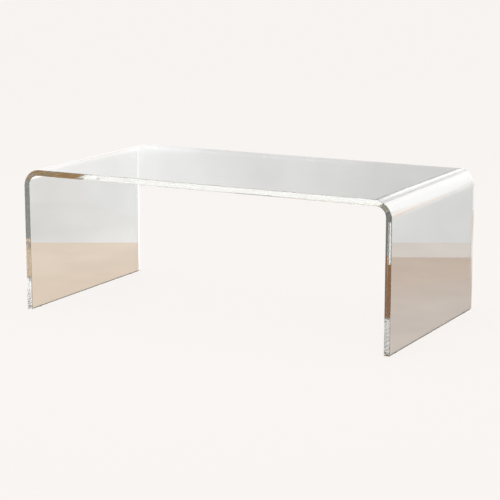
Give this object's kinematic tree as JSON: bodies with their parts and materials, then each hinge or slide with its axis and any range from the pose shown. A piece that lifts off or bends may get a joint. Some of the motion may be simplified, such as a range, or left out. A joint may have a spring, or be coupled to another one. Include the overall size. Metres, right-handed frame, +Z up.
{
  "type": "coffee table",
  "caption": "Low clear table bent from a single thick acrylic sheet, whose flat top turns down through rounded bends into full-depth panel legs on small clear floor bumpers.",
  "frame": {"origin": "on the floor, under the middle of the table", "axes": "+X along the table's length to its right end, +Y to its back, +Z up"},
  "size_m": [1.067, 0.559, 0.386],
  "materials": {
    "clear_acrylic": "clear cast acrylic with flame-polished edges",
    "clear_bumper": "clear soft polyurethane, satin"
  },
  "bodies": {
    "root": {"bent_sheet": "clear_acrylic", "bumper_front_left": "clear_bumper", "bumper_back_left": "clear_bumper", "bumper_front_right": "clear_bumper", "bumper_back_right": "clear_bumper"}
  },
  "joints": []
}
